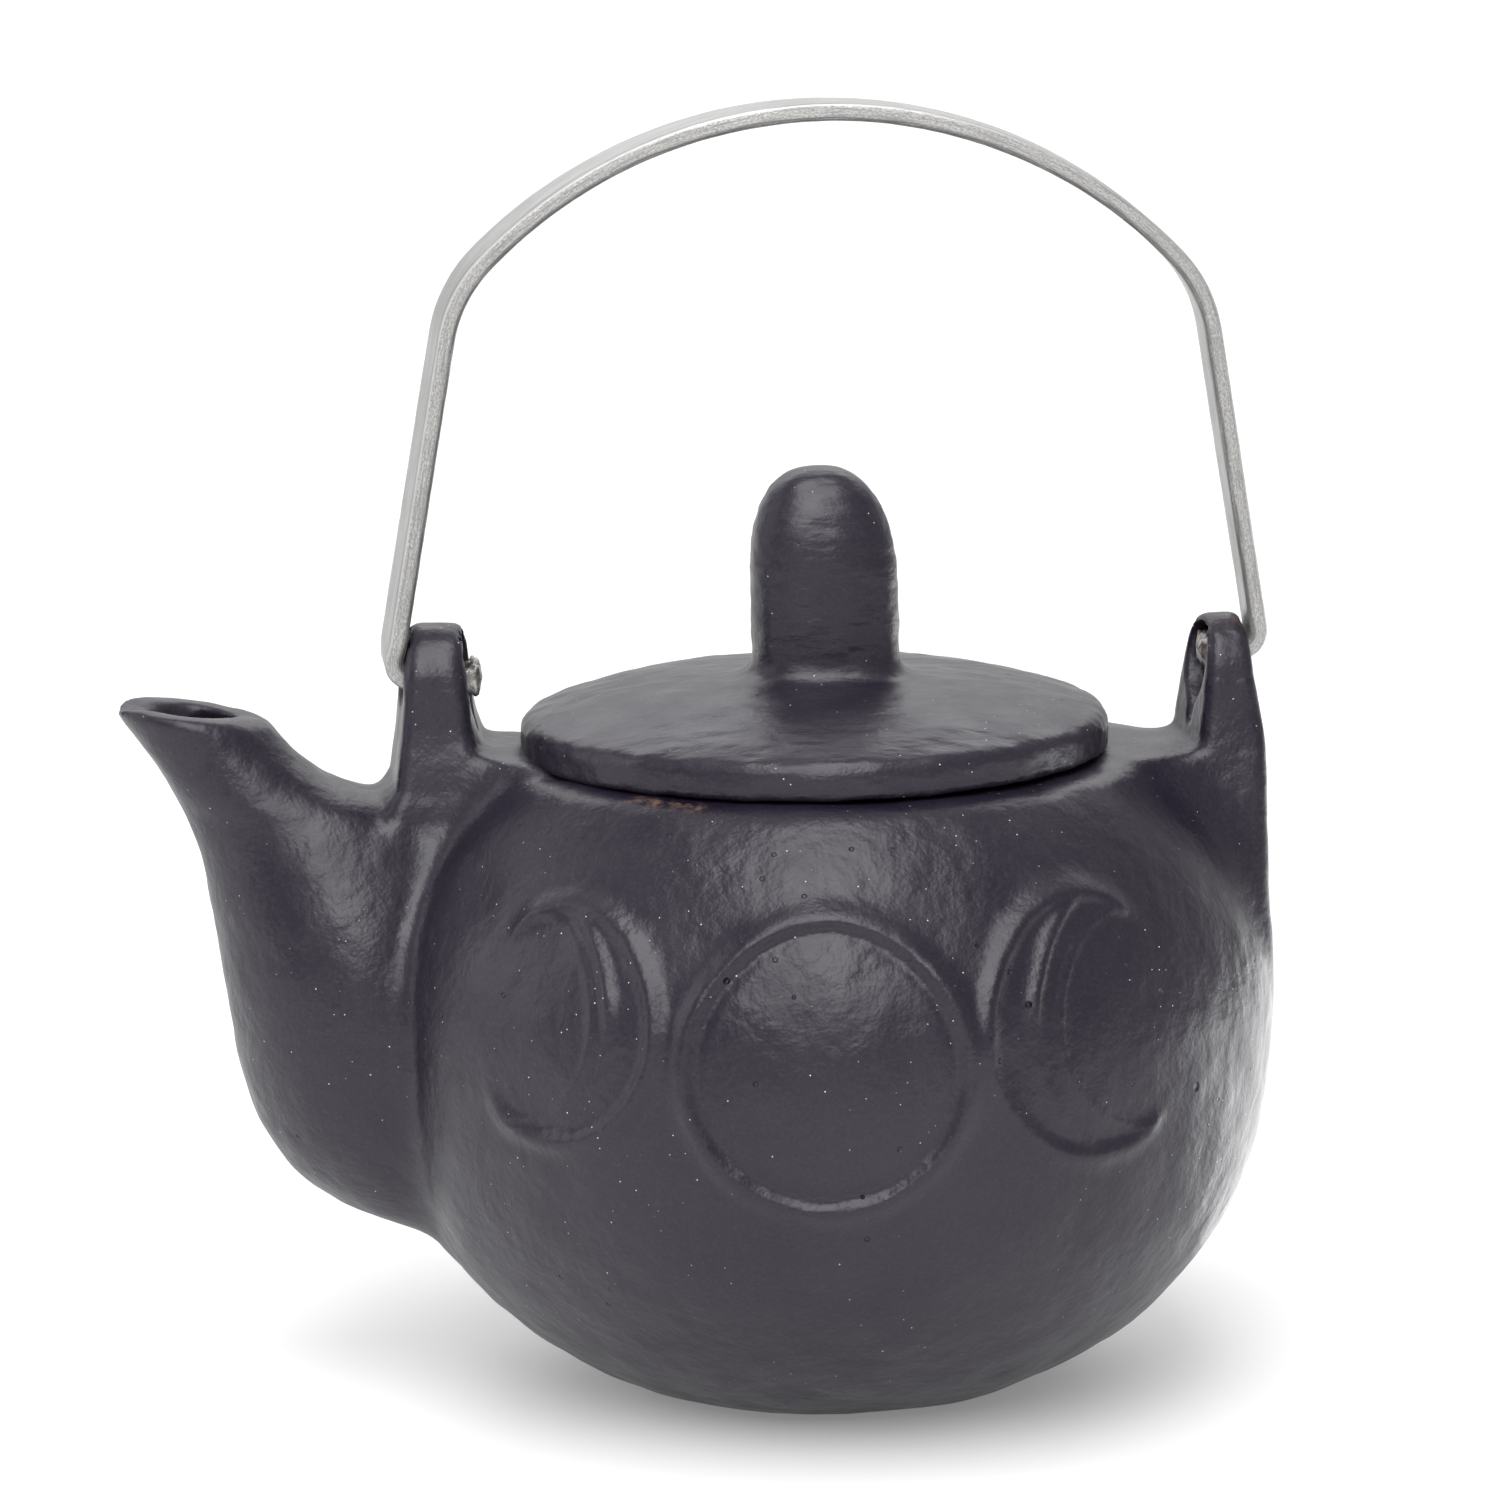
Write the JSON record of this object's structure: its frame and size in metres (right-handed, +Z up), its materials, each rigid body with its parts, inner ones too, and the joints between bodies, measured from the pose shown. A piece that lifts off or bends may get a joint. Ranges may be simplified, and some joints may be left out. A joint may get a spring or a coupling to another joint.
{
  "type": "cast iron teapot",
  "caption": "Small round-bellied cast iron pouring pot with a horn spout, lift-off domed lid with a thumb knob, and a flat steel bail that swings in two ears.",
  "frame": {"origin": "centre of the flat foot, on the surface the pot stands on", "axes": "+Z up through the lid's knob, -X towards the spout, +X to the ear opposite it, -Y towards the decorated side"},
  "size_m": [0.1445, 0.1132, 0.1622],
  "materials": {
    "pot_iron": "satin black paint over sand-cast iron",
    "lid_iron": "satin black paint over sand-cast iron",
    "bail_steel": "dull plated strip with a grainy sheared edge"
  },
  "bodies": {
    "pot": {"pot_body": "pot_iron"},
    "lid": {"lid": "lid_iron"},
    "bail": {"bail_handle": "bail_steel"}
  },
  "joints": [
    {"name": "lid_lift", "type": "slide", "parent": "pot", "child": "lid", "axis": [0, 0, 1], "range_m": [0, 0.04]},
    {"name": "bail_swing", "type": "hinge", "parent": "pot", "child": "bail", "pos_m": [0.0003, 0, 0.0916], "axis": [1, 0, 0], "range_deg": [-100, 100]}
  ]
}
